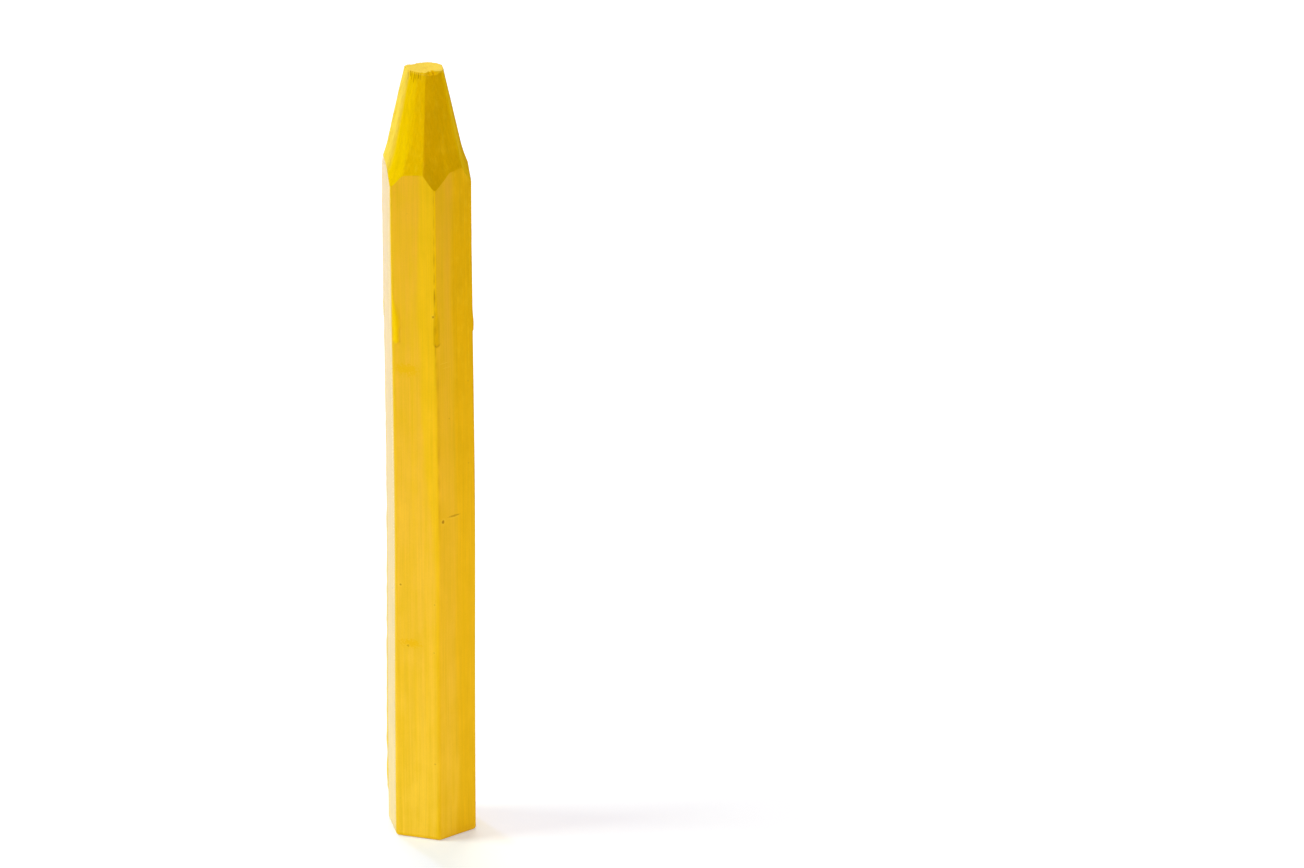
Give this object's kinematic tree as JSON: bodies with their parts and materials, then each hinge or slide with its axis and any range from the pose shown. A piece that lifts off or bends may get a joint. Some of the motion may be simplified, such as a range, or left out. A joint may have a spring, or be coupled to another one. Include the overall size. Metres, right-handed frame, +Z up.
{
  "type": "chalk stick",
  "caption": "Six-sided stick of yellow wax-bound marking chalk with a faceted, tapered tip cut flat at its end. It stands on its flat base.",
  "frame": {"origin": "middle of the flat base", "axes": "+Z up along the stick, from the base to the cut end of the tip; -Y out of one flat side; +X out of a long edge"},
  "size_m": [0.014, 0.0122, 0.12],
  "materials": {
    "chalk": "matte"
  },
  "bodies": {
    "root": {"chalk_stick": "chalk"}
  },
  "joints": []
}
